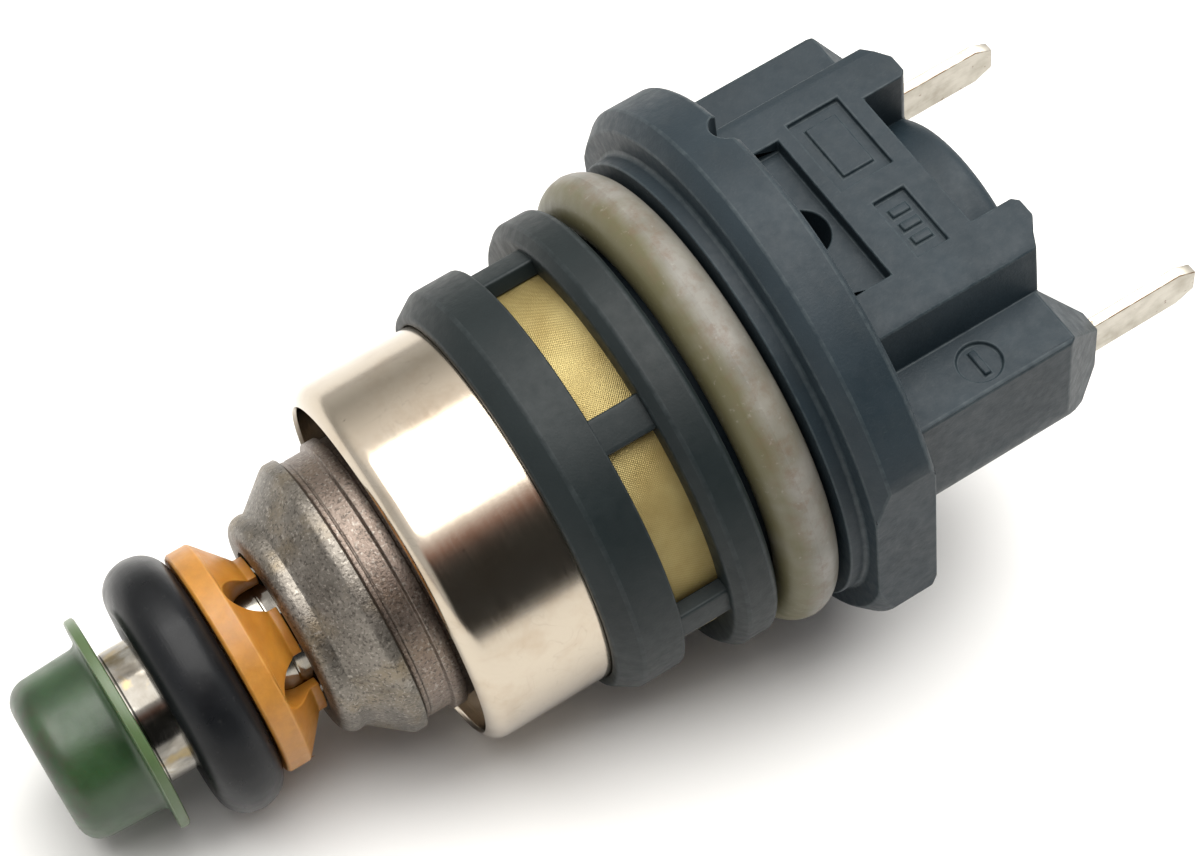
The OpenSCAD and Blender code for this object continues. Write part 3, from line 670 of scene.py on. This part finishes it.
nozzle = {"stem": 3.8, "groove": 0.05, "grooves": (3.9, 12.2), "collarFrom": 13.8, "outlet": 0.6,
          "bore": 1.9, "counterbore": 2.6, "edge": 0.05, "steps": 160}
low, high, collarR = span("nozzle_body")
stemR = nozzle["stem"]
outline = [(nozzle["outlet"], low), (stemR - 0.3, low), (stemR - 0.08, low + 0.09), (stemR, low + 0.3)]
for z in nozzle["grooves"]:
    outline += [(stemR, low + z), (stemR - nozzle["groove"], low + z + 0.08),
                (stemR - nozzle["groove"], low + z + 0.2), (stemR, low + z + 0.28)]
outline += [(stemR, low + nozzle["collarFrom"]), (collarR, low + nozzle["collarFrom"]),
            (collarR, high), (nozzle["counterbore"], high), (nozzle["counterbore"], high - 1.6),
            (nozzle["bore"], high - 1.6), (nozzle["bore"], low + 1.8), (nozzle["outlet"], low + 0.8)]
bm = turned(outline, nozzle["steps"])
softenEdges(bm, nozzle["edge"], 2, 50)
putPiece("nozzleBody", bm, "stem", "polished_steel", "nozzle_body")


# spacer ring

spacer = {"edge": 0.06, "segments": 2}
bm = softenEdges(copyOfNode("spacer_ring"), spacer["edge"], spacer["segments"])
putPiece("spacerRing", bm, "orange", "orange_plastic", "spacer_ring")


# nozzle cap: cup with a thin disc at its back

cap = {"radius": 4.72, "taper": 0.12, "edge": 1.35, "fillet": 0.45, "disc": 0.58, "mouth": 2.1,
       "wall": 0.8, "lift": 0.03, "steps": 176}
low, high, discR = span("nozzle_cap")
mouth, wall, edge, fillet = cap["mouth"], cap["wall"], cap["edge"], cap["fillet"]
stemBore = stemR + 0.02
discLow = high - cap["disc"]
outline = [(mouth, low + wall), (mouth, low + 0.32), (mouth + 0.12, low + 0.1), (mouth + 0.32, low)]
outline += arc((cap["radius"] - cap["taper"] - edge, low + edge), edge, -90, 0, 10)
outline += arc((cap["radius"] + fillet, discLow - fillet), fillet, 180, 90, 6)
outline += [(discR - 0.12, discLow), (discR - 0.02, discLow + 0.07), (discR, discLow + 0.2),
            (discR, high - 0.16), (discR - 0.05, high - 0.05), (discR - 0.16, high),
            (stemBore, high), (stemBore, low + wall)]
bm = turned(outline, cap["steps"])
for vert in bm.verts:  # the thin disc is a little dished and wavy
    far = Vector((vert.co.x, vert.co.y, 0)).length / mm
    if far > cap["radius"] + 0.1:
        wave = math.sin(3 * math.atan2(vert.co.y, vert.co.x) + 0.6)
        vert.co.z -= (0.5 + 0.5 * wave) * cap["lift"] * (far - cap["radius"]) * mm
putPiece("nozzleCap", bm, "green", "green_plastic", "nozzle_cap")


# coil winding: rows of round wire

winding = {"wire": 0.36, "bore": 5.53, "steps": 96}
low, high, outer = span("coil_winding")
turns = round((high - low) / winding["wire"])
wireR = (high - low) / turns / 2
outline = []
for i in range(turns):
    outline += arc((outer - wireR, low + wireR * (2 * i + 1)), wireR, -75, 75, 5)
outline += [(winding["bore"], high), (winding["bore"], low)]
bm = turned(outline, winding["steps"])
putPiece("coilWinding", bm, "copper", "copper", "coil_winding", sharp=70)


# return spring: the coil from the CAD node, smoothly shaded

spring = {"lift": 0.12, "sharp": 80}
low, high, outer = span("return_spring")
coil = putPiece("returnSpring", copyOfNode("return_spring"), "spring", "spring_steel",
                "return_spring", sharp=spring["sharp"])
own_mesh(coil)


# inner parts keep their solids and get their own finish

innerFinish = {
    "spray_plate": "polished", "valve_needle": "polished", "valve_ball": "polished", "armature": "core",
    "adjusting_tube": "brass", "core_plug_ball": "polished", "pole_core": "core",
    "guide_sleeve": "spring", "lift_stop_shim": "polished", "coil_bobbin": "bobbin",
    "coil_seal_upper": "blackSeal", "coil_seal_lower": "blackSeal", "flux_washer": "core"}
for node, finish in innerFinish.items():
    piece = nodes[node]
    if not piece.material_slots:
        piece.data.materials.append(None)
    for held in piece.material_slots:
        held.material = finishes[finish]
print("inner parts finished:", len(innerFinish))


# table, light and camera

table = {"lieTurn": 88, "tilt": 12.4, "gap": 0.02, "size": 3.0, "tone": (0.86, 0.86, 0.85)}
lie, tilt = math.radians(table["lieTurn"]), math.radians(table["tilt"])
upright = Vector((-math.cos(tilt) * math.cos(lie), -math.cos(tilt) * math.sin(lie), math.sin(tilt)))
lowest = min(upright.dot(v.co) for o in nodes.values() for v in o.data.vertices)
bm = bmesh.new()
bmesh.ops.create_grid(bm, x_segments=8, y_segments=8, size=table["size"] / 2)
level = upright.to_track_quat("Z", "Y").to_matrix()
bmesh.ops.rotate(bm, cent=(0, 0, 0), matrix=level, verts=bm.verts)
bmesh.ops.translate(bm, vec=upright * (lowest - table["gap"] * mm), verts=bm.verts)
mesh = bpy.data.meshes.new("tableTop")
bm.to_mesh(mesh)
bm.free()
tableTop = bpy.data.objects.new("tableTop", mesh)
bpy.context.scene.collection.objects.link(tableTop)
paper, tree, shader = startFinish("paper", Roughness=0.75)
tone = ramp(tree, speckle(tree, where(tree), 60, 2), [(0.3, (0.84, 0.84, 0.83)), (0.7, table["tone"])])
wire(tree, shader, Base_Color=tone, Normal=relief(tree, speckle(tree, where(tree), 0.8, 3), 0.01))
behind = addNode(tree, "ShaderNodeNewGeometry").outputs["Backfacing"]
clear = addNode(tree, "ShaderNodeBsdfTransparent")
sided = addNode(tree, "ShaderNodeMixShader", {0: behind, 1: shader.outputs[0], 2: clear.outputs[0]})
tree.links.new(sided.outputs[0], tree.nodes["Material Output"].inputs["Surface"])
mesh.materials.append(paper)

# the room round the object: a pale side, a dark side and a bright window
# each entry is degrees about the axis and a tone
room = [(-180, (0.76, 0.75, 0.72)), (-166, (0.54, 0.53, 0.5)), (-152, (0.78, 0.76, 0.72)),
        (-138, (1.2, 1.16, 1.1)), (-124, (1.42, 1.38, 1.34)), (-66, (1.36, 1.32, 1.32)),
        (-57, (0.46, 0.25, 0.19)), (-50, (0.1, 0.08, 0.072)), (-42, (0.045, 0.045, 0.042)),
        (-6, (0.045, 0.045, 0.045)), (4, (0.6, 0.6, 0.6)), (60, (0.85, 0.85, 0.85)),
        (150, (0.85, 0.85, 0.85)), (180, (0.76, 0.75, 0.72))]
roomEnds = {"from": 0.5, "to": 0.75, "tone": (0.85, 0.85, 0.85), "fill": (0.55, 0.55, 0.55)}
world = bpy.data.worlds.new("studio")
bpy.context.scene.world = world
world.use_nodes = True
tree = world.node_tree
outward = addNode(tree, "ShaderNodeTexCoord").outputs["Generated"]
look = addNode(tree, "ShaderNodeSeparateXYZ", {0: outward})
angle = maths(tree, "ARCTAN2", look.outputs["Y"], look.outputs["X"])
angle = maths(tree, "ADD", maths(tree, "DIVIDE", angle, 2 * math.pi), 0.5)
tones = ramp(tree, angle, [((turn + 180) / 360, level) for turn, level in room])
inputs = {"Value": maths(tree, "ABSOLUTE", look.outputs["Z"]), "From Min": roomEnds["from"],
          "From Max": roomEnds["to"]}
ends = addNode(tree, "ShaderNodeMapRange", inputs, clamp=True).outputs[0]
tones = blendTone(tree, ends, tones, roomEnds["tone"])
ray = addNode(tree, "ShaderNodeLightPath")
tones = blendTone(tree, ray.outputs["Is Diffuse Ray"], tones, roomEnds["fill"], "MULTIPLY")
tones = blendTone(tree, ray.outputs["Is Camera Ray"], tones, (1.0, 1.0, 1.0))
tree.links.new(tones, tree.nodes["Background"].inputs["Color"])

lamp = {"turn": -95, "lift": 17, "away": 450, "wide": 470, "tall": 700, "power": 4.7,
        "tone": (1.0, 0.985, 0.955)}
middle = (cadBox[0] + cadBox[1]) / 2
turn, lift = math.radians(lamp["turn"]), math.radians(lamp["lift"])
side = Vector((math.cos(turn) * math.cos(lift), math.sin(turn) * math.cos(lift), math.sin(lift)))
light = bpy.data.lights.new("window", "AREA")
light.shape = "RECTANGLE"
light.size, light.size_y = lamp["wide"] * mm, lamp["tall"] * mm
light.energy = lamp["power"]
light.color = lamp["tone"]
window = bpy.data.objects.new("window", light)
bpy.context.scene.collection.objects.link(window)
window.location = middle + side * lamp["away"] * mm
window.rotation_mode = "QUATERNION"
window.rotation_quaternion = side.to_track_quat("Z", "Y")

view = {"eye": (77.54, -136.89, 1.43), "back": (0.487, -0.849, -0.202),
        "up": (-0.6990, -0.5182, 0.4928), "lens": 90.6, "sensor": 36}
back = Vector(view["back"]).normalized()
up = Vector(view["up"])
up = (up - back * up.dot(back)).normalized()
across = up.cross(back)
camera = bpy.data.cameras.new("camera")
camera.lens = view["lens"]
camera.sensor_width = view["sensor"]
camera.clip_start, camera.clip_end = 0.005, 20
eye = bpy.data.objects.new("camera", camera)
bpy.context.scene.collection.objects.link(eye)
turnTo = Matrix((across, up, back)).transposed()
eye.matrix_world = Matrix.Translation(Vector(view["eye"]) * mm) @ turnTo.to_4x4()
bpy.context.scene.camera = eye
bpy.context.scene.view_settings.view_transform = "Standard"
print("table, light and camera set")
